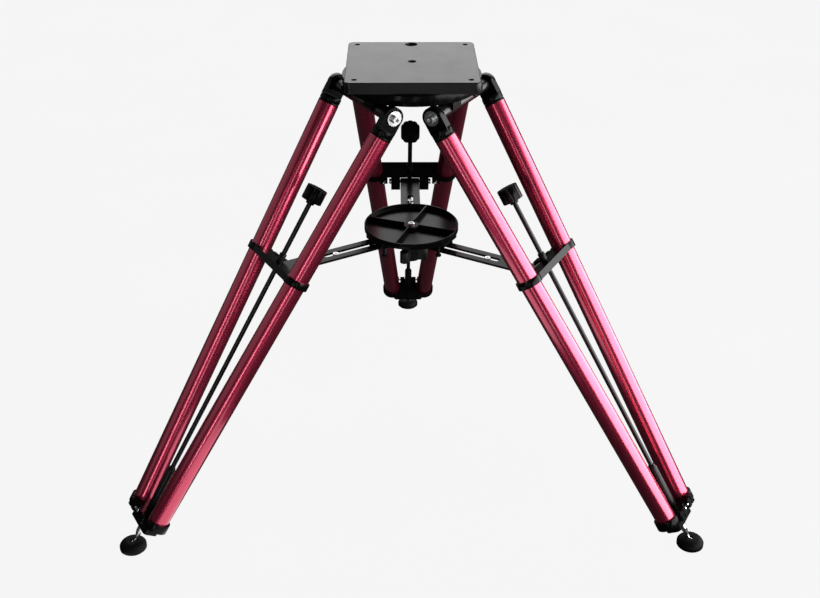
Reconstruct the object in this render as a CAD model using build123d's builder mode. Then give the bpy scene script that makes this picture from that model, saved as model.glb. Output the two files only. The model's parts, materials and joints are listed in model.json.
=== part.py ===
"""Twin-tube astronomy tripod with a square mount plate, an accessory tray and levelling feet.

Frame: millimetres, +Z up, origin at the centre of the top plate's upper face.
The three legs stand at 210 (left), 330 (right) and 90 degrees (rear) about +Z.
"""
from math import atan2, cos, degrees, hypot, radians, sin
import os

from build123d import *

os.makedirs("parts", exist_ok=True)

# ---- overall ----
HEIGHT = 775.0              # floor to the top plate's upper face
SPLAY = radians(33.3)       # leg angle from the vertical, legs fully spread
LEG_AZIMUTHS = {"left": 210.0, "right": 330.0, "rear": 90.0}
RUNNING = 0.05              # radial clearance of a shaft that turns or slides in its hole
SIDE_GAP = 0.2              # gap between flat faces that turn against each other

# ---- head ----
PLATE_SIDE = 210.0
PLATE_THICK = 18.0
PLATE_CORNER = 9.0          # corner radius in plan
PLATE_CHAMFER = 1.2
CORNER_PITCH = 180.0        # square bolt pattern
CORNER_HOLE = 9.0
CENTRE_HOLE = 14.0
PEG_HOLE = 21.0             # shallow seat for an azimuth peg
PEG_DEPTH = 5.0
PEG_OFFSET = 91.0
HUB_RADIUS = 112.5
HUB_THICK = 18.0
HUB_BORE = 40.0
PLATE_SCREW_CIRCLE = 50.0   # radius
PLATE_SCREW_COUNT = 6

# ---- leg hinge ----
HINGE_RADIUS = 89.0         # hinge axis from the tripod's centre line
HINGE_DROP = 48.0           # hinge axis below the plate's upper face
TUBE_HALF_TOP = 90.0        # tube axis from the leg's middle, at the hinge
BAR_RADIUS = 11.0
SADDLE_WIDTH = 27.0
SADDLE_SPAN = (24.0, 52.0)  # along the hinge axis, each side of the middle
TONGUE_THICK = 13.0
EYE_RADIUS = 16.5           # round end of the tongue
SCREW_RADIUS = 4.0          # M8
SCREW_DEPTH = 22.0
SCREW_HEAD_RADIUS = 6.5
SCREW_HEAD = 8.0
SOCKET_ACROSS = 6.0
WASHER_RADIUS = 12.0
WASHER_THICK = 2.0

# ---- leg tubes ----
TUBE_RADIUS = 17.5
TUBE_WALL = 2.0
TUBE_START = 36.0           # from the hinge axis, along the tube
SHOULDER = 22.0             # where the fitting's tongue becomes round
SPIGOT = 28.0               # length inside the tube
TAPER_S = 776.0             # along the leg, where the tube axes' lower spacing is taken
TUBE_HALF_FOOT = 37.4       # tube axis from the leg's middle, there
BLOCK_S = 784.0             # foot block's upper face, from the hinge along the leg
SOCKET_DEPTH = 12.0
CONVERGE = atan2(TUBE_HALF_TOP - TUBE_HALF_FOOT, TAPER_S)

# ---- middle bracket ----
BRACKET_S = 296.0
BRACKET_THICK = 11.5
RING_RADIUS = 21.0
WEB_INNER = 10.0            # web's inner edge, below the tube plane
WEB_OUTER = 18.5
EAR_SPAN = (43.0, 58.0)
EAR_INNER = 24.0
SLIT = 1.5
PIVOT_S = 304.0             # spreader arm's pivot, along the leg
PIVOT_INNER = 20.0          # and inwards from the tube plane
LUG_END = (313.0, 34.0)     # lug's far corner: along the leg, and inwards
LUG_SPAN = (18.6, 36.0)
PIN_RADIUS = 3.0
PINCH_T = 49.5
PINCH_RADIUS = 2.0

# ---- levelling foot ----
ROD_RADIUS = 4.0
ROD_TOP = 172.0
ROD_END = 786.0
KNOB_S = 159.0
KNOB_LENGTH = 24.0
KNOB_RADIUS = 17.3
KNOB_FLUTES = 10
BUSH_RADIUS = 6.0
BUSH_RISE = 15.0
SLEEVE_RADIUS = 7.5
SLEEVE_TOP = 699.0
SLEEVE_SEAT = 12.0          # length of the sleeve's upper, narrow bore
BLOCK_RING = 15.0
BLOCK_CORE = 34.0
CORE_HALF = 33.0
CORE_SPAN = (-16.0, 11.0)   # core, inwards and outwards from the tube plane
EAR_OUT = 26.5              # pinch ears, outwards from the tube plane
FOOT_EARS = (8.0, 31.0)     # and along the hinge axis, each side of the middle
FOOT_SLIT = 3.0
FOOT_SCREW_E = 23.2
SPINDLE_RADIUS = 6.0
SPINDLE_TOP = 740.0
SPINDLE_BORE = 76.0
NECK_RADIUS = 2.3
BALL_RADIUS = 5.5
BALL_HEIGHT = 10.0
PAD_RADIUS = 23.0
PAD_HEIGHT = 17.0
PAD_TILT = (radians(-4.0), radians(38.0))   # spindle's lean that the pad's slot leaves room for

# ---- spreader and tray ----
ARM_WIDTH = 36.0
ARM_THICK = 4.0
ARM_PITCH = 4.3             # the three arms cross the middle one above another
ARM_LEVELS = {"left": 1, "right": -1, "rear": 0}
ARM_TIP = 18.0              # past the middle
ARM_SLOT = 10.5
ARM_SLOT_SPAN = (-7.0, 170.0)
BARREL_RADIUS = 6.0
STUD_RADIUS = 3.0
POST_RADIUS = 3.0
POST_R = 66.0
POST_SIDE = 22.9
SPREADER_THICK = 8.5
TRAY_RADIUS = 81.5
TRAY_HEIGHT = 11.0
TRAY_WALL = 2.5
TRAY_FLOOR = 2.0
TRAY_TURN = -21.0           # first divider's direction, degrees
BOSS_RADIUS = 13.0
BOSS_HEIGHT = 6.5
CLAMP_RADIUS = 29.0
CLAMP_HEIGHT = 34.3
CLAMP_BOSS = 14.3           # height of the round part above the lobes
CLAMP_BOSS_RADIUS = 20.0
CLAMP_TURN = 235.0

PIVOT_R = HINGE_RADIUS + PIVOT_S * sin(SPLAY) - PIVOT_INNER * cos(SPLAY)
PIVOT_Z = -HINGE_DROP - PIVOT_S * cos(SPLAY) - PIVOT_INNER * sin(SPLAY)
STACK_TOP = PIVOT_Z + ARM_PITCH + ARM_THICK / 2
STACK_BOTTOM = PIVOT_Z - ARM_PITCH - ARM_THICK / 2
SPREADER_Z = STACK_TOP + 0.3
TRAY_Z = SPREADER_Z + SPREADER_THICK
BALL_S = (HEIGHT - HINGE_DROP - BALL_HEIGHT) / cos(SPLAY)


def keep(builder, label):
    """Label a finished sub-part and write its STEP file."""
    builder.part.label = label
    export_step(builder.part, f"parts/{label}.step")


def leg_plane(azimuth):
    """Leg's plane at its hinge: X tangential, Y square to the leg and outwards, Z down the leg."""
    a = radians(azimuth)
    outward = Vector(cos(a), sin(a), 0)
    down = outward * sin(SPLAY) - Vector(0, 0, cos(SPLAY))
    origin = outward * HINGE_RADIUS - Vector(0, 0, HINGE_DROP)
    return Plane(origin=origin, x_dir=(-sin(a), cos(a), 0), z_dir=down)


def tube_plane(leg, side):
    """Plane square to one tube at the hinge; side is +1 or -1 along the hinge axis."""
    axis = leg.z_dir * cos(CONVERGE) - leg.x_dir * side * sin(CONVERGE)
    across = leg.x_dir * cos(CONVERGE) + leg.z_dir * side * sin(CONVERGE)
    return Plane(origin=leg.from_local_coords((side * TUBE_HALF_TOP, 0, 0)), x_dir=across, z_dir=axis)


def side_plane(leg, t, s=0.0, inner=0.0):
    """Plane across the hinge axis at t: X down the leg, Y inwards, Z along the axis."""
    return Plane(origin=leg.from_local_coords((t, -inner, s)), x_dir=leg.z_dir, z_dir=leg.x_dir)


def drill(plane, radius, depth):
    """Cut a round hole along a plane's Z in the part that is being built."""
    with BuildSketch(plane) as profile:
        Circle(radius)
    extrude(profile.sketch, amount=depth, mode=Mode.SUBTRACT)


def rod(plane, radius, length):
    """Add a round bar along a plane's Z to the part that is being built."""
    with BuildSketch(plane) as profile:
        Circle(radius)
    extrude(profile.sketch, amount=length)


def socket_screw(plane, radius, length, head_radius, head):
    """Add a socket-head screw whose shank runs along a plane's Z from the seat of its head."""
    rod(plane, radius, length)
    rod(plane.offset(-head), head_radius, head)
    with BuildSketch(plane.offset(-head)) as recess:
        RegularPolygon(head_radius * 0.5, 6)
    extrude(recess.sketch, amount=head * 0.5, mode=Mode.SUBTRACT)


# ======================= head =======================
with BuildPart() as top_plate:
    with BuildSketch(Plane.XY.offset(-PLATE_THICK)):
        RectangleRounded(PLATE_SIDE, PLATE_SIDE, PLATE_CORNER)
    extrude(amount=PLATE_THICK)
    chamfer(top_plate.faces().sort_by(Axis.Z)[-1].edges(), PLATE_CHAMFER)
    with Locations((0, 0, 0)):
        Hole(CENTRE_HOLE / 2, PLATE_THICK)
    with GridLocations(CORNER_PITCH, CORNER_PITCH, 2, 2):
        Hole(CORNER_HOLE / 2, PLATE_THICK)
    with Locations((0, PEG_OFFSET, 0)):
        Hole(PEG_HOLE / 2, PEG_DEPTH)
    with BuildSketch(Plane.XY.offset(-PLATE_THICK)):
        with PolarLocations(PLATE_SCREW_CIRCLE, PLATE_SCREW_COUNT):
            Circle(3.0)
    extrude(amount=12.0, mode=Mode.SUBTRACT)
keep(top_plate, "top_plate")

with BuildPart() as hub:
    with BuildSketch(Plane.XY.offset(-PLATE_THICK - HUB_THICK)):
        Circle(HUB_RADIUS)
        Circle(HUB_BORE / 2, mode=Mode.SUBTRACT)
    extrude(amount=HUB_THICK)
    chamfer(hub.edges().filter_by(GeomType.CIRCLE).sort_by(SortBy.RADIUS)[-2:], 1.0)
    for azimuth in LEG_AZIMUTHS.values():
        leg = leg_plane(azimuth)
        tangent = leg.x_dir
        radial = Vector(cos(radians(azimuth)), sin(radians(azimuth)), 0)
        for side in (1, -1):
            start = leg.origin + tangent * SADDLE_SPAN[0 if side > 0 else 1] * side
            upright = Plane(origin=start, x_dir=radial, z_dir=tangent)
            rise = HINGE_DROP - PLATE_THICK - HUB_THICK
            with BuildSketch(upright):
                with Locations((0, -rise / 2)):
                    Rectangle(SADDLE_WIDTH, rise)
            extrude(amount=SADDLE_SPAN[1] - SADDLE_SPAN[0])
    for azimuth in LEG_AZIMUTHS.values():
        leg = leg_plane(azimuth)
        drill(Plane(origin=leg.origin - leg.x_dir * 100, z_dir=leg.x_dir), BAR_RADIUS, 200)
    with BuildSketch(Plane.XY.offset(-PLATE_THICK - HUB_THICK)):
        with PolarLocations(PLATE_SCREW_CIRCLE, PLATE_SCREW_COUNT):
            Circle(3.0)
    extrude(amount=HUB_THICK, mode=Mode.SUBTRACT)
keep(hub, "hub")

with BuildPart() as plate_screws:
    for index in range(PLATE_SCREW_COUNT):
        turn = radians(360 / PLATE_SCREW_COUNT * index)
        seat = Vector(PLATE_SCREW_CIRCLE * cos(turn), PLATE_SCREW_CIRCLE * sin(turn), -PLATE_THICK - HUB_THICK)
        socket_screw(Plane(origin=seat, z_dir=(0, 0, 1)), 3.0, HUB_THICK + 11.0, 5.0, 5.0)
keep(plate_screws, "plate_screws")

for leg_name, azimuth in LEG_AZIMUTHS.items():
    leg = leg_plane(azimuth)
    half = TUBE_HALF_TOP - TONGUE_THICK / 2 - SIDE_GAP
    with BuildPart() as hinge_bar:
        rod(side_plane(leg, -half), BAR_RADIUS, 2 * half)
        chamfer(hinge_bar.edges().filter_by(GeomType.CIRCLE), 0.8)
        drill(side_plane(leg, -half), SCREW_RADIUS, SCREW_DEPTH)
        drill(side_plane(leg, half - SCREW_DEPTH), SCREW_RADIUS, SCREW_DEPTH)
    keep(hinge_bar, f"hinge_bar_{leg_name}")

WASHER_T = TUBE_HALF_TOP + TONGUE_THICK / 2 + SIDE_GAP
HEAD_T = WASHER_T + WASHER_THICK

with BuildPart() as hinge_washers:
    for azimuth in LEG_AZIMUTHS.values():
        leg = leg_plane(azimuth)
        for start in (WASHER_T, -WASHER_T - WASHER_THICK):
            with BuildSketch(side_plane(leg, start)):
                Circle(WASHER_RADIUS)
                Circle(SCREW_RADIUS, mode=Mode.SUBTRACT)
            extrude(amount=WASHER_THICK)
keep(hinge_washers, "hinge_washers")

with BuildPart() as hinge_screws:
    reach = HEAD_T - (TUBE_HALF_TOP - TONGUE_THICK / 2 - SIDE_GAP) + SCREW_DEPTH - 2.0
    for azimuth in LEG_AZIMUTHS.values():
        leg = leg_plane(azimuth)
        for side in (1, -1):
            seat = leg.from_local_coords((side * HEAD_T, 0, 0))
            inwards = Plane(origin=seat, x_dir=leg.z_dir, z_dir=leg.x_dir * -side)
            socket_screw(inwards, SCREW_RADIUS, reach, SCREW_HEAD_RADIUS, SCREW_HEAD)
keep(hinge_screws, "hinge_screws")


# ======================= legs =======================
def make_tube(leg, side, label):
    """Drawn tube, open at both ends and closed by its fittings."""
    length = (BLOCK_S + SOCKET_DEPTH) / cos(CONVERGE) - TUBE_START
    with BuildPart() as tube:
        with BuildSketch(tube_plane(leg, side).offset(TUBE_START)):
            Circle(TUBE_RADIUS)
            Circle(TUBE_RADIUS - TUBE_WALL, mode=Mode.SUBTRACT)
        extrude(amount=length)
    keep(tube, label)


def make_top_fitting(leg, side, label):
    """Turned plug with a flat, round-ended tongue that carries the hinge screw."""
    axis = tube_plane(leg, side)
    middle = side_plane(leg, side * TUBE_HALF_TOP)
    with BuildPart() as fitting:
        rod(axis.offset(SHOULDER), TUBE_RADIUS, TUBE_START - SHOULDER)
        rod(axis.offset(TUBE_START), TUBE_RADIUS - TUBE_WALL, SPIGOT)
        with BuildSketch(middle):
            Circle(EYE_RADIUS)
            with Locations(((SHOULDER + 2.0) / 2, 0)):
                Rectangle(SHOULDER + 2.0, 2 * EYE_RADIUS - 0.6)
        extrude(amount=TONGUE_THICK / 2, both=True)
        drill(middle.offset(-TONGUE_THICK), SCREW_RADIUS + RUNNING, 2 * TONGUE_THICK)
        with BuildSketch(axis.offset(TUBE_START - 4.5)):
            Circle(TUBE_RADIUS + 1)
            Circle(TUBE_RADIUS - 1.0, mode=Mode.SUBTRACT)
        extrude(amount=1.2, mode=Mode.SUBTRACT)
    keep(fitting, label)


def make_bracket(leg, label):
    """Clamp plate across both tubes, with lugs for the spreader arm."""
    half = TUBE_HALF_TOP - (TUBE_HALF_TOP - TUBE_HALF_FOOT) * (BRACKET_S + BRACKET_THICK / 2) / TAPER_S
    ear_mid = (EAR_SPAN[0] + EAR_SPAN[1]) / 2
    ear_wide = EAR_SPAN[1] - EAR_SPAN[0]
    with BuildPart() as bracket:
        with BuildSketch(leg.offset(BRACKET_S)):
            with Locations((0, (WEB_OUTER - WEB_INNER) / 2)):
                Rectangle(2 * half, WEB_OUTER + WEB_INNER)
            with Locations((half, 0), (-half, 0)):
                Circle(RING_RADIUS)
            with Locations((ear_mid, -EAR_INNER / 2), (-ear_mid, -EAR_INNER / 2)):
                Rectangle(ear_wide, EAR_INNER)
        extrude(amount=BRACKET_THICK)
        for side in (1, -1):
            start = LUG_SPAN[0] if side > 0 else -LUG_SPAN[1]
            with BuildSketch(side_plane(leg, start, PIVOT_S, PIVOT_INNER)):
                with Locations(((BRACKET_S + LUG_END[0]) / 2 - PIVOT_S, LUG_END[1] / 2 - PIVOT_INNER)):
                    Rectangle(LUG_END[0] - BRACKET_S, LUG_END[1])
            extrude(amount=LUG_SPAN[1] - LUG_SPAN[0])
            drill(tube_plane(leg, side).offset(BRACKET_S - 30), TUBE_RADIUS, 70)
            with BuildSketch(leg.offset(BRACKET_S)):
                with Locations((side * (EAR_SPAN[0] + 6.0), -WEB_INNER - SLIT / 2)):
                    Rectangle(14.0, SLIT)
            extrude(amount=BRACKET_THICK, mode=Mode.SUBTRACT)
            seat = leg.from_local_coords((side * PINCH_T, -EAR_INNER, BRACKET_S + BRACKET_THICK / 2))
            drill(Plane(origin=seat, z_dir=leg.y_dir), PINCH_RADIUS, 24.0)
        drill(side_plane(leg, -50, PIVOT_S, PIVOT_INNER), PIN_RADIUS, 100)
        drill(leg.offset(BRACKET_S - 1), BUSH_RADIUS, BRACKET_THICK + 2)
    keep(bracket, label)


def make_foot_block(leg, label):
    """Block that closes both tubes and carries the levelling sleeve; each tube has pinch ears."""
    ear = (FOOT_EARS[0] + FOOT_EARS[1]) / 2
    with BuildPart() as block:
        with BuildSketch(leg.offset(BLOCK_S)):
            SlotCenterToCenter(2 * TUBE_HALF_FOOT - 1.0, 2 * RING_RADIUS)
        extrude(amount=BLOCK_RING)
        with BuildSketch(leg.offset(BLOCK_S)):
            with Locations((0, (CORE_SPAN[0] + CORE_SPAN[1]) / 2)):
                RectangleRounded(2 * CORE_HALF, CORE_SPAN[1] - CORE_SPAN[0], 6.0)
        extrude(amount=BLOCK_CORE)
        with BuildSketch(leg.offset(BLOCK_S)):
            with Locations((ear, EAR_OUT / 2), (-ear, EAR_OUT / 2)):
                Rectangle(FOOT_EARS[1] - FOOT_EARS[0], EAR_OUT)
        extrude(amount=BLOCK_RING)
        drill(leg.offset(BLOCK_S - 1), SLEEVE_RADIUS, BLOCK_CORE + 2)
        for side in (1, -1):
            deep = (BLOCK_S + SOCKET_DEPTH) / cos(CONVERGE)
            drill(tube_plane(leg, side).offset(deep - 40), TUBE_RADIUS, 40)
            with BuildSketch(leg.offset(BLOCK_S)) as slit:
                with Locations((side * ear, EAR_OUT)):
                    Rectangle(FOOT_SLIT, 2 * (EAR_OUT - 12.0))
            extrude(slit.sketch, amount=BLOCK_RING, mode=Mode.SUBTRACT)
        drill(side_plane(leg, -40, BLOCK_S + BLOCK_RING / 2, -FOOT_SCREW_E), PINCH_RADIUS, 80)
    keep(block, label)


def make_clamp_screws(leg, label):
    """Pinch screws: two in the bracket, two in the foot block."""
    with BuildPart() as screws:
        for side in (1, -1):
            seat = leg.from_local_coords((side * PINCH_T, -EAR_INNER, BRACKET_S + BRACKET_THICK / 2))
            socket_screw(Plane(origin=seat, z_dir=leg.y_dir), PINCH_RADIUS, 22.0, 3.5, 2.0)
            seat = leg.from_local_coords((side * FOOT_EARS[0], FOOT_SCREW_E, BLOCK_S + BLOCK_RING / 2))
            socket_screw(Plane(origin=seat, z_dir=leg.x_dir * side), PINCH_RADIUS, 20.0, 3.2, 4.0)
    keep(screws, label)


def make_arm_pivots(leg, label):
    """Two shoulder screws that hold the spreader arm between the lugs."""
    with BuildPart() as pivots:
        for side in (1, -1):
            seat = leg.from_local_coords((side * LUG_SPAN[1], -PIVOT_INNER, PIVOT_S))
            inwards = Plane(origin=seat, x_dir=leg.z_dir, z_dir=leg.x_dir * -side)
            socket_screw(inwards, PIN_RADIUS, LUG_SPAN[1] - 5.0, 5.0, 4.0)
    keep(pivots, label)


def make_bush(leg, label):
    """Plain bearing that guides the adjusting rod through the bracket."""
    with BuildPart() as bush:
        with BuildSketch(leg.offset(BRACKET_S - BUSH_RISE)):
            Circle(BUSH_RADIUS)
            Circle(ROD_RADIUS + RUNNING, mode=Mode.SUBTRACT)
        extrude(amount=BUSH_RISE + BRACKET_THICK)
    keep(bush, label)


def make_sleeve(leg, label):
    """Guide sleeve: a narrow seat for the rod above a bore for the spindle."""
    bottom = BLOCK_S + BLOCK_CORE
    with BuildPart() as sleeve:
        rod(leg.offset(SLEEVE_TOP), SLEEVE_RADIUS, bottom - SLEEVE_TOP)
        chamfer(sleeve.edges().filter_by(GeomType.CIRCLE).sort_by(Axis(leg.origin, leg.z_dir))[0], 6.0, 2.2)
        drill(leg.offset(SLEEVE_TOP - 1), ROD_RADIUS + RUNNING, 40)
        drill(leg.offset(SLEEVE_TOP + SLEEVE_SEAT), SPINDLE_RADIUS + RUNNING, 200)
    keep(sleeve, label)


def make_rod(leg, label):
    """Long adjusting rod; its lower end screws into the spindle."""
    with BuildPart() as adjusting_rod:
        rod(leg.offset(ROD_TOP), ROD_RADIUS, ROD_END - ROD_TOP)
        chamfer(adjusting_rod.edges().filter_by(GeomType.CIRCLE), 0.6)
    keep(adjusting_rod, label)


def make_knob(leg, label):
    """Fluted hand knob, pressed on the top of the rod."""
    with BuildPart() as knob:
        with BuildSketch(leg.offset(KNOB_S)):
            Circle(KNOB_RADIUS)
            with PolarLocations(KNOB_RADIUS + 1.6, KNOB_FLUTES):
                Circle(2.8, mode=Mode.SUBTRACT)
        extrude(amount=KNOB_LENGTH)
        rod(leg.offset(KNOB_S + KNOB_LENGTH), 7.0, 5.0)
        drill(leg.offset(ROD_TOP), ROD_RADIUS, 40)
    keep(knob, label)


def make_spindle(leg, label):
    """Foot spindle: threaded bore at the top, taper, neck and ball at the bottom."""
    taper_s = BALL_S - 27.0
    neck_s = BALL_S - 12.0
    with BuildPart() as spindle:
        with BuildSketch(Plane(origin=leg.origin, x_dir=leg.x_dir, z_dir=-leg.y_dir)):
            with BuildLine():
                Polyline(
                    (0, SPINDLE_TOP),
                    (SPINDLE_RADIUS, SPINDLE_TOP),
                    (SPINDLE_RADIUS, taper_s),
                    (NECK_RADIUS, neck_s),
                    (NECK_RADIUS, BALL_S),
                    (0, BALL_S),
                    close=True,
                )
            make_face()
        revolve(axis=Axis(leg.origin, leg.z_dir))
        with BuildSketch(Plane(origin=leg.from_local_coords((0, 0, BALL_S)), x_dir=leg.x_dir, z_dir=-leg.y_dir)):
            with BuildLine():
                ThreePointArc((0, -BALL_RADIUS), (BALL_RADIUS, 0), (0, BALL_RADIUS))
                Line((0, BALL_RADIUS), (0, -BALL_RADIUS))
            make_face()
        revolve(axis=Axis(leg.origin, leg.z_dir))
        drill(leg.offset(SPINDLE_TOP - 1), ROD_RADIUS + RUNNING, SPINDLE_BORE + 1)
    keep(spindle, label)


def make_pad(leg, label):
    """Rubber pad with a ball seat, slotted on its inner side for the spindle's lean."""
    ball = leg.from_local_coords((0, 0, BALL_S))
    outward = Vector(ball.X, ball.Y, 0).normalized()
    section = Plane(origin=Vector(ball.X, ball.Y, -HEIGHT), x_dir=outward, z_dir=-leg.x_dir)
    upright = Axis(Vector(ball.X, ball.Y, -HEIGHT), (0, 0, 1))
    room = NECK_RADIUS + 0.9
    reach = 26.0
    low, high = PAD_TILT
    with BuildPart() as pad:
        with BuildSketch(section):
            with BuildLine():
                Line((0, 0), (PAD_RADIUS - 2.0, 0))
                Line((PAD_RADIUS - 2.0, 0), (PAD_RADIUS, 2.0))
                Line((PAD_RADIUS, 2.0), (PAD_RADIUS, 8.0))
                ThreePointArc((PAD_RADIUS, 8.0), (17.5, 14.6), (8.0, PAD_HEIGHT))
                Line((8.0, PAD_HEIGHT), (0, PAD_HEIGHT))
                Line((0, PAD_HEIGHT), (0, 0))
            make_face()
        revolve(axis=upright)
        with BuildSketch(Plane(origin=ball, x_dir=outward, z_dir=-leg.x_dir)):
            with BuildLine():
                ThreePointArc((0, -BALL_RADIUS - 0.3), (BALL_RADIUS + 0.3, 0), (0, BALL_RADIUS + 0.3))
                Line((0, BALL_RADIUS + 0.3), (0, -BALL_RADIUS - 0.3))
            make_face()
        revolve(axis=upright, mode=Mode.SUBTRACT)
        with BuildSketch(Plane(origin=ball, x_dir=outward, z_dir=-leg.x_dir)):
            with BuildLine():
                Polyline(
                    (-room * cos(high), -room * sin(high)),
                    (-room * cos(high) - reach * sin(high), -room * sin(high) + reach * cos(high)),
                    (room * cos(low) - reach * sin(low), room * sin(low) + reach * cos(low)),
                    (room * cos(low), room * sin(low)),
                    close=True,
                )
            make_face()
        extrude(amount=room, both=True, mode=Mode.SUBTRACT)
    keep(pad, label)


def make_arm(leg_name, azimuth, label):
    """Flat slotted spreader arm with a hinge barrel at its outer end."""
    a = radians(azimuth)
    radial = Vector(cos(a), sin(a), 0)
    tangent = Vector(-sin(a), cos(a), 0)
    level = PIVOT_Z + ARM_LEVELS[leg_name] * ARM_PITCH - ARM_THICK / 2
    flat = Plane(origin=(0, 0, level), x_dir=radial, z_dir=(0, 0, 1))
    pivot = radial * PIVOT_R + Vector(0, 0, PIVOT_Z)
    straight = PIVOT_R + ARM_TIP - ARM_WIDTH / 2
    slot = ARM_SLOT_SPAN[1] - ARM_SLOT_SPAN[0] - ARM_SLOT
    with BuildPart() as arm:
        with BuildSketch(flat):
            with Locations((PIVOT_R - straight / 2, 0)):
                Rectangle(straight, ARM_WIDTH)
            with Locations((ARM_WIDTH / 2 - ARM_TIP, 0)):
                Circle(ARM_WIDTH / 2)
            with Locations(((ARM_SLOT_SPAN[0] + ARM_SLOT_SPAN[1]) / 2, 0)):
                SlotCenterToCenter(slot, ARM_SLOT, mode=Mode.SUBTRACT)
        extrude(amount=ARM_THICK)
        barrel = Plane(origin=pivot - tangent * ARM_WIDTH / 2, x_dir=radial, z_dir=tangent)
        rod(barrel, BARREL_RADIUS, ARM_WIDTH)
        drill(barrel.offset(-1), PIN_RADIUS + RUNNING, ARM_WIDTH + 2)
    keep(arm, label)


for leg_name, azimuth in LEG_AZIMUTHS.items():
    leg = leg_plane(azimuth)
    prefix = f"{leg_name}_leg"
    for side, tag in ((1, "ccw"), (-1, "cw")):
        make_tube(leg, side, f"{prefix}_tube_{tag}")
        make_top_fitting(leg, side, f"{prefix}_top_fitting_{tag}")
    make_bracket(leg, f"{prefix}_bracket")
    make_foot_block(leg, f"{prefix}_foot_block")
    make_clamp_screws(leg, f"{prefix}_clamp_screws")
    make_arm_pivots(leg, f"{prefix}_arm_pivots")
    make_bush(leg, f"{prefix}_rod_bush")
    make_sleeve(leg, f"{prefix}_foot_sleeve")
    make_rod(leg, f"{prefix}_adjusting_rod")
    make_knob(leg, f"{prefix}_knob")
    make_spindle(leg, f"{prefix}_spindle")
    make_pad(leg, f"{prefix}_pad")
    make_arm(leg_name, azimuth, f"{leg_name}_spreader_arm")

# ======================= spreader hub and tray =======================
with BuildPart() as spreader_plate:
    with BuildSketch(Plane.XY.offset(SPREADER_Z)):
        Circle(42.0)
        with PolarLocations(0, 3, start_angle=90.0):
            with Locations((POST_R / 2 + 4.0, 0)):
                RectangleRounded(POST_R + 12.0, 2 * POST_SIDE + 12.0, 6.0)
        Circle(STUD_RADIUS, mode=Mode.SUBTRACT)
        for azimuth in LEG_AZIMUTHS.values():
            with Locations(Rotation(0, 0, azimuth)):
                with Locations((POST_R, POST_SIDE), (POST_R, -POST_SIDE)):
                    Circle(POST_RADIUS, mode=Mode.SUBTRACT)
    extrude(amount=SPREADER_THICK)
keep(spreader_plate, "spreader_plate")

with BuildPart() as guide_posts:
    for azimuth in LEG_AZIMUTHS.values():
        a = radians(azimuth)
        for side in (1, -1):
            x = POST_R * cos(a) - side * POST_SIDE * sin(a)
            y = POST_R * sin(a) + side * POST_SIDE * cos(a)
            foot = Plane(origin=(x, y, STACK_BOTTOM - 1.0))
            rod(foot, POST_RADIUS, SPREADER_Z + SPREADER_THICK - STACK_BOTTOM + 1.0)
            rod(foot.offset(-3.0), 4.8, 3.0)
keep(guide_posts, "guide_posts")

with BuildPart() as tray:
    with BuildSketch(Plane.XY.offset(TRAY_Z)):
        Circle(TRAY_RADIUS)
    extrude(amount=TRAY_HEIGHT)
    fillet(tray.edges().filter_by(GeomType.CIRCLE).sort_by(Axis.Z)[0], 2.0)
    with BuildSketch(Plane.XY.offset(TRAY_Z + TRAY_FLOOR)):
        Circle(TRAY_RADIUS - TRAY_WALL)
    extrude(amount=TRAY_HEIGHT, mode=Mode.SUBTRACT)
    chamfer(tray.edges().filter_by(GeomType.CIRCLE).sort_by(Axis.Z)[-2:], 0.6)
    drill(Plane.XY.offset(TRAY_Z - 1), STUD_RADIUS, TRAY_HEIGHT)
keep(tray, "tray")

with BuildPart() as tray_divider:
    with BuildSketch(Plane.XY.offset(TRAY_Z + TRAY_FLOOR)):
        with PolarLocations(0, 4, start_angle=TRAY_TURN):
            with Locations(((BOSS_RADIUS + 0.1 + TRAY_RADIUS - TRAY_WALL) / 2, 0)):
                Rectangle(TRAY_RADIUS - TRAY_WALL - BOSS_RADIUS - 0.1, 2.0)
    extrude(amount=TRAY_HEIGHT - TRAY_FLOOR)
    rod(Plane.XY.offset(TRAY_Z + TRAY_FLOOR), BOSS_RADIUS, BOSS_HEIGHT)
    drill(Plane.XY.offset(TRAY_Z), STUD_RADIUS, TRAY_HEIGHT)
    with BuildSketch(Plane.XY.offset(TRAY_Z - 1)):
        Circle(TRAY_RADIUS + 5)
        Circle(TRAY_RADIUS - TRAY_WALL - 0.2, mode=Mode.SUBTRACT)
    extrude(amount=TRAY_HEIGHT + 5, mode=Mode.SUBTRACT)
keep(tray_divider, "tray_divider")

CLAMP_TOP = STACK_BOTTOM - 0.3
HEAD_Z = TRAY_Z + TRAY_FLOOR + BOSS_HEIGHT

with BuildPart() as tray_screw:
    stud_end = CLAMP_TOP - CLAMP_HEIGHT + 2.0
    rod(Plane.XY.offset(stud_end), STUD_RADIUS, HEAD_Z - stud_end)
    rod(Plane.XY.offset(HEAD_Z), 6.5, 3.6)
    chamfer(tray_screw.edges().filter_by(GeomType.CIRCLE).sort_by(Axis.Z)[-1], 1.4)
    with BuildSketch(Plane.XY.offset(HEAD_Z + 3.6)):
        RegularPolygon(2.3, 6)
    extrude(amount=-2.2, mode=Mode.SUBTRACT)
keep(tray_screw, "tray_screw")

with BuildPart() as clamp_knob:
    rod(Plane.XY.offset(CLAMP_TOP - CLAMP_BOSS), CLAMP_BOSS_RADIUS, CLAMP_BOSS)
    chamfer(clamp_knob.edges().filter_by(GeomType.CIRCLE), 1.5)
    with BuildSketch(Plane.XY.offset(CLAMP_TOP - CLAMP_HEIGHT)):
        Circle(15.0)
        with PolarLocations(0, 3, start_angle=CLAMP_TURN):
            with Locations((CLAMP_RADIUS / 2, 0)):
                SlotCenterToCenter(CLAMP_RADIUS - 15.0, 15.0)
    extrude(amount=CLAMP_HEIGHT - CLAMP_BOSS)
    drill(Plane.XY.offset(CLAMP_TOP + 1), STUD_RADIUS + RUNNING, -CLAMP_HEIGHT)
keep(clamp_knob, "clamp_knob")

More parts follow.
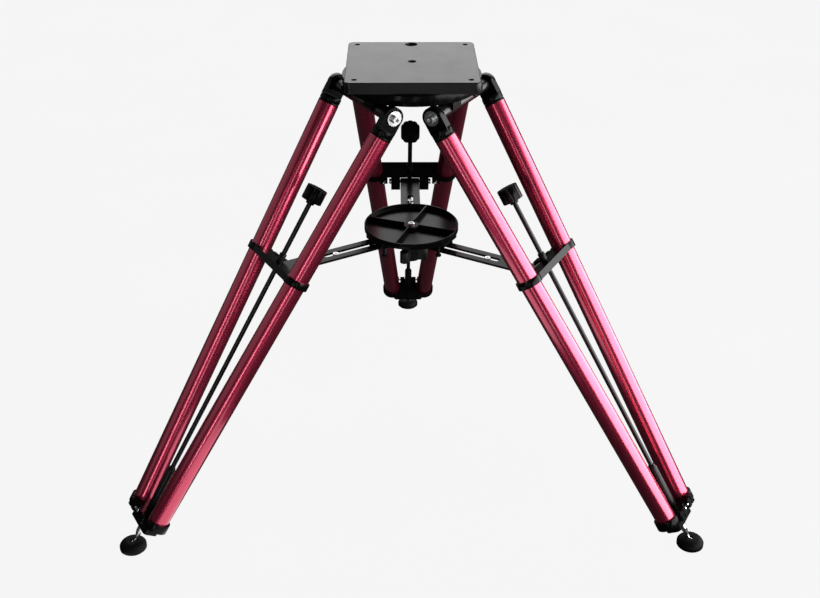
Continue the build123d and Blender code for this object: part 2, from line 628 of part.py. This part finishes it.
print(f"splay {degrees(SPLAY):.1f} deg, pivot radius {PIVOT_R:.3f}, pivot height {PIVOT_Z:.3f}")
print(f"foot radius {HINGE_RADIUS + BALL_S * sin(SPLAY):.2f}, ball at s {BALL_S:.2f}")
print(f"tube length {(BLOCK_S + SOCKET_DEPTH) / cos(CONVERGE) - TUBE_START:.1f}")
print(f"arm reach from the pivot {hypot(PIVOT_R + ARM_TIP, 0):.1f}")
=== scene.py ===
"""Looks for the twin-tube astronomy tripod: finishes, one small added part, floor, light and camera."""
import json
import math

import bmesh
import bpy
from mathutils import Matrix, Vector


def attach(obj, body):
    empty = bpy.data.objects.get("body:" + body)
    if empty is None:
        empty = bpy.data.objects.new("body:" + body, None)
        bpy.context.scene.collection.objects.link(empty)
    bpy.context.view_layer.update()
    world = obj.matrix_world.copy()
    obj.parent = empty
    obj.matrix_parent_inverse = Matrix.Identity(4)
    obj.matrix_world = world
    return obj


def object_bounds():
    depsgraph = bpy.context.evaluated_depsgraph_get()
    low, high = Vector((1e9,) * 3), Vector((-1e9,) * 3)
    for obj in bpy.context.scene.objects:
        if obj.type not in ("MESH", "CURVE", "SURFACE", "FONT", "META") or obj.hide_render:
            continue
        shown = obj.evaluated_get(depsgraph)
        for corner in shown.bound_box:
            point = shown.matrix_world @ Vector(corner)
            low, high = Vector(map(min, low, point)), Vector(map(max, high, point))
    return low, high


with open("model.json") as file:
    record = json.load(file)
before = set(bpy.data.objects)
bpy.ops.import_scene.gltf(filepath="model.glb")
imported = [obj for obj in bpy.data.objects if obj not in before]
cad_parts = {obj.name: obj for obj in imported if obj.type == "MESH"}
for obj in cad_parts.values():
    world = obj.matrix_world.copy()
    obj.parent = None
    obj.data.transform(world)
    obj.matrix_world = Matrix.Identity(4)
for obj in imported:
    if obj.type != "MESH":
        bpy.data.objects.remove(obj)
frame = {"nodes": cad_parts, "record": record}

CAD_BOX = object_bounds()
MM = 0.001
UP = Vector((0, 0, 1))
SLOT = {row["node"]: row["material_slot"] for row in frame["record"]["subparts"]}
JOINTS = {joint["name"]: joint for joint in frame["record"]["behaviour"]["joints"]}
LEGS = ("left", "right", "rear")
FLOOR_Z = CAD_BOX[0].z

# ---------------------------------------------------------------- camera: metres, radians
CAMERA_AT = Vector((-0.0241, -1.7413, 0.5583))
CAMERA_YAW = -0.0128
CAMERA_PITCH = 0.5405
CAMERA_ROLL = 0.0031
LENS_MM = 48.79
SENSOR_MM = 36.0
SHIFT_Y = 0.0279
CLIP_NEAR, CLIP_FAR = 0.05, 200.0

# ---------------------------------------------------------------- light and floor
BACKDROP_WHITE = 0.922      # far background, as the camera sees it
AMBIENT = 0.03              # strength of the room's even light on the tripod
FLOOR_GLOW = BACKDROP_WHITE * 0.985
FLOOR_FLECK = 1.004         # how much brighter the floor's light flecks are
FLOOR_REACH = 60.0

# ---------------------------------------------------------------- edges
EDGE_WIDTH = 0.3 * MM
EDGE_WIDTHS = {"top_plate": 0.5 * MM, "hub": 0.4 * MM}
EDGE_SEGMENTS = 2
EDGE_ANGLE = math.radians(34)
WELD_DISTANCE = 0.000002

# ---------------------------------------------------------------- the stop in each arm's slot
STOP_FROM_MIDDLE = 0.148
ARM_INNER_REACH = 0.15      # the arm's thickness is read from its points nearer the middle than this
STOP_RADIUS = 5.1 * MM
STOP_EDGE = 0.4 * MM
STOP_SOCKET_HALF = 2.0 * MM
STOP_SOCKET_DEPTH = 1.6 * MM
STOP_STEPS = 48

# ---------------------------------------------------------------- finding a straight part's direction
END_SHARE = 20              # one point in so many counts as an end
END_POINTS_LEAST = 8


# ================================================================ materials
def grey(level):
    return (level,) * 3


class Graph:
    """A short way to write a node tree: every method adds one node and returns its output."""

    def __init__(self, name):
        self.material = bpy.data.materials.new(name)
        self.material.use_nodes = True
        self.tree = self.material.node_tree
        self.shader = self.tree.nodes["Principled BSDF"]

    def node(self, kind, **settings):
        made = self.tree.nodes.new(kind)
        for key, value in settings.items():
            setattr(made, key, value)
        return made

    def link(self, source, socket):
        self.tree.links.new(source, socket)

    def place(self, turn=None, stretch=(1, 1, 1)):
        """Object coordinates, turned so that Z runs along a part's own axis, then stretched."""
        coords = self.node("ShaderNodeTexCoord")
        mapping = self.node("ShaderNodeMapping", vector_type="POINT")
        if turn is not None:
            mapping.inputs["Rotation"].default_value = turn
        self.link(coords.outputs["Object"], mapping.inputs["Vector"])
        scale = self.node("ShaderNodeVectorMath", operation="MULTIPLY")
        scale.inputs[1].default_value = stretch
        self.link(mapping.outputs["Vector"], scale.inputs[0])
        return scale.outputs["Vector"]

    def noise(self, vector, scale, detail=3.0, rough=0.55):
        made = self.node("ShaderNodeTexNoise")
        made.inputs["Scale"].default_value = scale
        made.inputs["Detail"].default_value = detail
        made.inputs["Roughness"].default_value = rough
        self.link(vector, made.inputs["Vector"])
        return made.outputs["Fac"]

    def spread(self, value, low, high, to_low, to_high):
        made = self.node("ShaderNodeMapRange")
        ends = {"From Min": low, "From Max": high, "To Min": to_low, "To Max": to_high}
        for key, number in ends.items():
            made.inputs[key].default_value = number
        self.link(value, made.inputs["Value"])
        return made.outputs["Result"]

    def ramp(self, value, *stops):
        made = self.node("ShaderNodeValToRGB")
        points = made.color_ramp.elements
        while len(points) < len(stops):
            points.new(0.5)
        for point, (where, colour) in zip(points, stops):
            point.position = where
            point.color = (*colour, 1.0)
        self.link(value, made.inputs["Fac"])
        return made.outputs["Color"]

    def blend(self, one, other, share):
        """The share is how much of the second goes in."""
        made = self.node("ShaderNodeMix", data_type="FLOAT")
        made.inputs[0].default_value = share
        self.link(one, made.inputs[2])
        self.link(other, made.inputs[3])
        return made.outputs[0]

    def bump(self, height, depth, strength):
        made = self.node("ShaderNodeBump")
        made.inputs["Distance"].default_value = depth
        made.inputs["Strength"].default_value = strength
        self.link(height, made.inputs["Height"])
        self.link(made.outputs["Normal"], self.shader.inputs["Normal"])

    def finish(self, colour, roughness, **fixed):
        """Colour and roughness come from outputs; anything even all over is set directly."""
        self.link(colour, self.shader.inputs["Base Color"])
        self.link(roughness, self.shader.inputs["Roughness"])
        for key, value in fixed.items():
            self.shader.inputs[key.replace("_", " ")].default_value = value
        return self.material


def turned_to(direction):
    """Euler angles that bring a direction in the frame onto +Z of a texture."""
    return direction.to_track_quat("Z", "Y").inverted().to_euler()


def red_anodised(name, direction):
    """Drawn aluminium tube, dyed red: lengthwise drawing lines under a hard clear layer."""
    g = Graph(name)
    turn = turned_to(direction)
    lines = g.noise(g.place(turn, (450, 450, 4)), 1.0, 2.0, 0.5)
    cloud = g.noise(g.place(turn, (14, 14, 5)), 1.0, 3.0)
    both = g.blend(lines, cloud, 0.7)
    colour = g.ramp(
        both,
        (0.30, (0.53, 0.032, 0.088)),
        (0.52, (0.57, 0.036, 0.098)),
        (0.75, (0.61, 0.041, 0.110)),
    )
    return g.finish(
        colour,
        g.spread(cloud, 0.3, 0.75, 0.27, 0.31),
        Metallic=0.94,
        Coat_Weight=0.8,
        Coat_Roughness=0.12,
        Coat_IOR=1.65,
    )


def black_anodised(name, gloss=0.20, tone=0.0025, grain=900.0, shine=0.10):
    """Machined aluminium, dyed black: fine even grain and faint cloudiness."""
    g = Graph(name)
    fine = g.noise(g.place(), grain, 3.0, 0.6)
    cloud = g.noise(g.place(), 22.0, 4.0)
    both = g.blend(fine, cloud, 0.5)
    colour = g.ramp(
        both,
        (0.30, grey(tone * 0.75)),
        (0.60, (tone, tone, tone * 1.08)),
        (0.80, grey(tone * 1.7)),
    )
    rough = g.spread(both, 0.3, 0.75, gloss - 0.05, gloss + 0.08)
    return g.finish(colour, rough, Specular_IOR_Level=shine)


def turned_black(name, direction, gloss=0.20):
    """Blackened bar or bush: fine turning marks round its axis."""
    g = Graph(name)
    turn = turned_to(direction)
    marks = g.noise(g.place(turn, (6, 6, 1800)), 1.0, 3.0)
    cloud = g.noise(g.place(turn), 60.0, 3.0)
    both = g.blend(marks, cloud, 0.4)
    colour = g.ramp(both, (0.30, grey(0.002)), (0.55, grey(0.003)), (0.80, grey(0.006)))
    rough = g.spread(both, 0.3, 0.7, gloss, gloss + 0.12)
    return g.finish(colour, rough, Specular_IOR_Level=0.3)


def stainless(name, direction):
    """Stainless steel with fine turning marks round its axis."""
    g = Graph(name)
    turn = turned_to(direction)
    marks = g.noise(g.place(turn, (10, 10, 2400)), 1.0, 3.0)
    cloud = g.noise(g.place(turn), 130.0, 3.0)
    both = g.blend(marks, cloud, 0.45)
    colour = g.ramp(
        both,
        (0.25, (0.50, 0.50, 0.51)),
        (0.55, (0.68, 0.68, 0.69)),
        (0.80, grey(0.80)),
    )
    return g.finish(colour, g.spread(both, 0.3, 0.7, 0.22, 0.30), Metallic=1.0)


def moulded_plastic(name):
    """Black plastic with a fine spark-eroded grain."""
    g = Graph(name)
    grain = g.noise(g.place(), 1500.0, 3.0, 0.65)
    cloud = g.noise(g.place(), 40.0, 3.0)
    both = g.blend(grain, cloud, 0.4)
    colour = g.ramp(both, (0.3, grey(0.003)), (0.6, grey(0.005)), (0.8, grey(0.009)))
    g.bump(grain, 0.00008, 0.6)
    return g.finish(colour, g.spread(both, 0.3, 0.7, 0.36, 0.48), Specular_IOR_Level=0.25)


def moulded_rubber(name):
    """Matt rubber with a dusty bloom."""
    g = Graph(name)
    grain = g.noise(g.place(), 700.0, 4.0, 0.65)
    bloom = g.noise(g.place(), 55.0, 4.0)
    both = g.blend(grain, bloom, 0.6)
    colour = g.ramp(both, (0.3, grey(0.003)), (0.6, grey(0.005)), (0.85, (0.011, 0.011, 0.010)))
    g.bump(grain, 0.00004, 0.25)
    return g.finish(colour, g.spread(both, 0.3, 0.7, 0.40, 0.55), Specular_IOR_Level=0.05)


def leg_axes(leg):
    """Down the leg, and along its hinge."""
    down = Vector(JOINTS[f"{leg}_foot_extend"]["axis"])
    across = Vector(JOINTS[f"{leg}_fold"]["axis"])
    return down, across


def long_axis(node):
    """A straight part's direction, from the middle of its top end to that of its bottom end."""
    points = [vertex.co for vertex in frame["nodes"][node].data.vertices]
    points.sort(key=lambda co: co.z)
    count = max(END_POINTS_LEAST, len(points) // END_SHARE)
    low = sum(points[:count], Vector()) / count
    high = sum(points[-count:], Vector()) / count
    return (low - high).normalized()


def dress():
    """A finish for every CAD node."""
    plain_black = black_anodised("anodised_black")
    plate_black = black_anodised(
        "anodised_black_plate", gloss=0.30, tone=0.005, grain=1100.0, shine=0.34
    )
    plastic = moulded_plastic("moulded_plastic")
    rubber = moulded_rubber("moulded_rubber")
    upright_steel = stainless("stainless_upright", UP)
    for node, thing in frame["nodes"].items():
        leg = next((side for side in LEGS if node.startswith(side)), None)
        slot = SLOT[node]
        if slot == "red_anodised":
            finish = red_anodised(f"anodised_red_{node}", long_axis(node))
        elif slot == "stainless":
            finish = stainless(f"stainless_{node}", leg_axes(leg)[0]) if leg else upright_steel
        elif slot == "blackened_steel":
            bar_of = node.replace("hinge_bar_", "")
            along = leg_axes(leg)[0] if leg else leg_axes(bar_of)[1]
            finish = turned_black(f"blackened_{node}", along)
        elif slot == "black_plastic":
            finish = plastic
        elif slot == "black_rubber":
            finish = rubber
        elif node == "top_plate":
            finish = plate_black
        elif node.endswith(("_rod_bush", "_foot_sleeve")):
            finish = turned_black(f"turned_{node}", leg_axes(leg)[0], 0.33)
        else:
            finish = plain_black
        paint(thing, finish)


def paint(thing, finish):
    thing.data.materials.clear()
    thing.data.materials.append(finish)


# ================================================================ edges
def soften_edges():
    """A small rounding on the edges of the black parts, so that they catch the light. Rubber is
    left as it is, and so are the red, steel and blackened parts."""
    for name, node in frame["nodes"].items():
        if not SLOT[name].startswith("black_") or SLOT[name] == "black_rubber":
            continue
        weld = node.modifiers.new("weld", "WELD")
        weld.merge_threshold = WELD_DISTANCE
        bevel = node.modifiers.new("edge", "BEVEL")
        bevel.width = EDGE_WIDTHS.get(name, EDGE_WIDTH)
        bevel.segments = EDGE_SEGMENTS
        bevel.limit_method = "ANGLE"
        bevel.angle_limit = EDGE_ANGLE
        bevel.harden_normals = True
        bevel.use_clamp_overlap = True
        bevel.miter_outer = "MITER_SHARP"


# ================================================================ the part the CAD leaves out
def turned(name, profile, at):
    """A turned part round +Z at a place, with a hexagon socket in its top. The profile is
    (radius, height), from the underside upwards."""
    mesh = bmesh.new()
    top = profile[-1][1]
    hexagon = []
    for i in range(STOP_STEPS):
        off = (360.0 * i / STOP_STEPS) % 60.0 - 30.0        # degrees from the middle of a flat
        hexagon.append(STOP_SOCKET_HALF / math.cos(math.radians(off)))
    rings = [[(radius, height)] * STOP_STEPS for radius, height in profile]
    for height in (top, top - STOP_SOCKET_DEPTH):
        rings.append([(radius, height) for radius in hexagon])
    loops = []
    for ring in rings:
        loop = []
        for i, (radius, height) in enumerate(ring):
            turn = 2 * math.pi * i / STOP_STEPS
            offset = Vector((radius * math.cos(turn), radius * math.sin(turn), height))
            loop.append(mesh.verts.new(at + offset))
        loops.append(loop)
    for one, other in zip(loops, loops[1:]):
        for i in range(STOP_STEPS):
            j = (i + 1) % STOP_STEPS
            mesh.faces.new((one[i], one[j], other[j], other[i]))
    mesh.faces.new(list(reversed(loops[0])))
    mesh.faces.new(loops[-1])
    bmesh.ops.recalc_face_normals(mesh, faces=mesh.faces)
    data = bpy.data.meshes.new(name)
    mesh.to_mesh(data)
    mesh.free()
    made = bpy.data.objects.new(name, data)
    bpy.context.collection.objects.link(made)
    return made


def arm_stops():
    """A flush steel stop in each arm's slot, which keeps the guide posts from running off."""
    steel = stainless("stainless_stop", UP)
    for leg in LEGS:
        outward = leg_axes(leg)[0]
        outward.z = 0
        outward.normalize()
        points = [vertex.co for vertex in frame["nodes"][f"{leg}_spreader_arm"].data.vertices]
        inner = [co.z for co in points if co.xy.length < ARM_INNER_REACH]
        low, high = min(inner), max(inner)
        thick = high - low
        profile = [
            (STOP_RADIUS - STOP_EDGE, 0),
            (STOP_RADIUS, STOP_EDGE),
            (STOP_RADIUS, thick - STOP_EDGE),
            (STOP_RADIUS - STOP_EDGE, thick),
        ]
        at = outward * STOP_FROM_MIDDLE + Vector((0, 0, low))
        stop = turned(f"{leg}_arm_stop", profile, at)
        paint(stop, steel)
        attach(stop, f"{leg}_arm")


# ================================================================ stage
def make_floor():
    """Plain pale floor that glows evenly, like a studio sweep, and is not seen in the tripod."""
    mesh = bpy.data.meshes.new("floor")
    signs = ((-1, -1), (1, -1), (1, 1), (-1, 1))
    corners = [(x * FLOOR_REACH, y * FLOOR_REACH, FLOOR_Z) for x, y in signs]
    mesh.from_pydata(corners, [], [(0, 1, 2, 3)])
    floor = bpy.data.objects.new("floor", mesh)
    bpy.context.collection.objects.link(floor)
    g = Graph("pale_floor")
    fleck = g.noise(g.place(), 3.0, 2.0)
    glow = g.ramp(fleck, (0.3, grey(FLOOR_GLOW)), (0.7, grey(FLOOR_GLOW * FLOOR_FLECK)))
    g.link(glow, g.shader.inputs["Emission Color"])
    finish = g.finish(
        g.ramp(fleck, (0.3, grey(0.010)), (0.7, grey(0.012))),
        g.spread(fleck, 0.3, 0.7, 0.9, 0.95),
        Emission_Strength=1.0,
        Specular_IOR_Level=0.0,
    )
    paint(floor, finish)
    floor.visible_glossy = False
    floor.visible_diffuse = False


def area_light(name, at, toward, size, power):
    data = bpy.data.lights.new(name, "AREA")
    data.shape = "RECTANGLE"
    data.size, data.size_y = size
    data.energy = power
    lamp = bpy.data.objects.new(name, data)
    bpy.context.collection.objects.link(lamp)
    lamp.location = at
    lamp.rotation_euler = (Vector(toward) - Vector(at)).to_track_quat("-Z", "Y").to_euler()
    lamp.visible_camera = False


def make_light():
    """Dim room with a white background, a sweep behind, a large softbox on the right, a small
    card near the floor, a weak panel on the left and two strips in front."""
    world = bpy.data.worlds.new("studio")
    bpy.context.scene.world = world
    world.use_nodes = True
    tree = world.node_tree
    tree.nodes.clear()
    out = tree.nodes.new("ShaderNodeOutputWorld")
    mix = tree.nodes.new("ShaderNodeMixShader")
    path = tree.nodes.new("ShaderNodeLightPath")
    tree.links.new(path.outputs["Is Camera Ray"], mix.inputs["Fac"])
    for socket, strength in ((1, AMBIENT), (2, BACKDROP_WHITE)):
        room = tree.nodes.new("ShaderNodeBackground")
        room.inputs["Color"].default_value = (1, 1, 1, 1)
        room.inputs["Strength"].default_value = strength
        tree.links.new(room.outputs["Background"], mix.inputs[socket])
    tree.links.new(mix.outputs["Shader"], out.inputs["Surface"])
    middle = (0, 0, -0.35)
    area_light("sweep", (0.0, 3.2, 1.3), (0, 0, -0.2), (5.0, 2.6), 85)
    area_light("right_panel", (2.0, -0.95, 0.12), (0, -0.95, 0.12), (4.3, 1.76), 135)
    area_light("low_card", (-0.31, -0.72, -0.772), (-0.31, -0.72, 0.3), (0.38, 0.95), 1.3)
    area_light("left_panel", (-2.2, 0.0, 0.45), (0, 0, 0.2), (3.6, 1.6), 5)
    area_light("strip_left", (-0.92, -2.1, -0.1), middle, (0.2, 1.4), 5)
    area_light("strip_middle", (0.1, -2.2, -0.1), middle, (0.25, 1.3), 2.5)


def make_camera():
    data = bpy.data.cameras.new("camera")
    data.lens = LENS_MM
    data.sensor_width = SENSOR_MM
    data.sensor_fit = "HORIZONTAL"
    data.shift_y = SHIFT_Y
    data.clip_start, data.clip_end = CLIP_NEAR, CLIP_FAR
    camera = bpy.data.objects.new("camera", data)
    bpy.context.collection.objects.link(camera)
    yaw = Matrix.Rotation(CAMERA_YAW, 3, "Z")
    pitch = Matrix.Rotation(math.pi / 2 - CAMERA_PITCH, 3, "X")
    roll = Matrix.Rotation(CAMERA_ROLL, 3, "Z")
    turn = yaw @ pitch @ roll
    camera.matrix_world = Matrix.Translation(CAMERA_AT) @ turn.to_4x4()
    bpy.context.scene.camera = camera


dress()
soften_edges()
arm_stops()
make_floor()
make_light()
make_camera()
bpy.context.scene.view_settings.view_transform = "Standard"
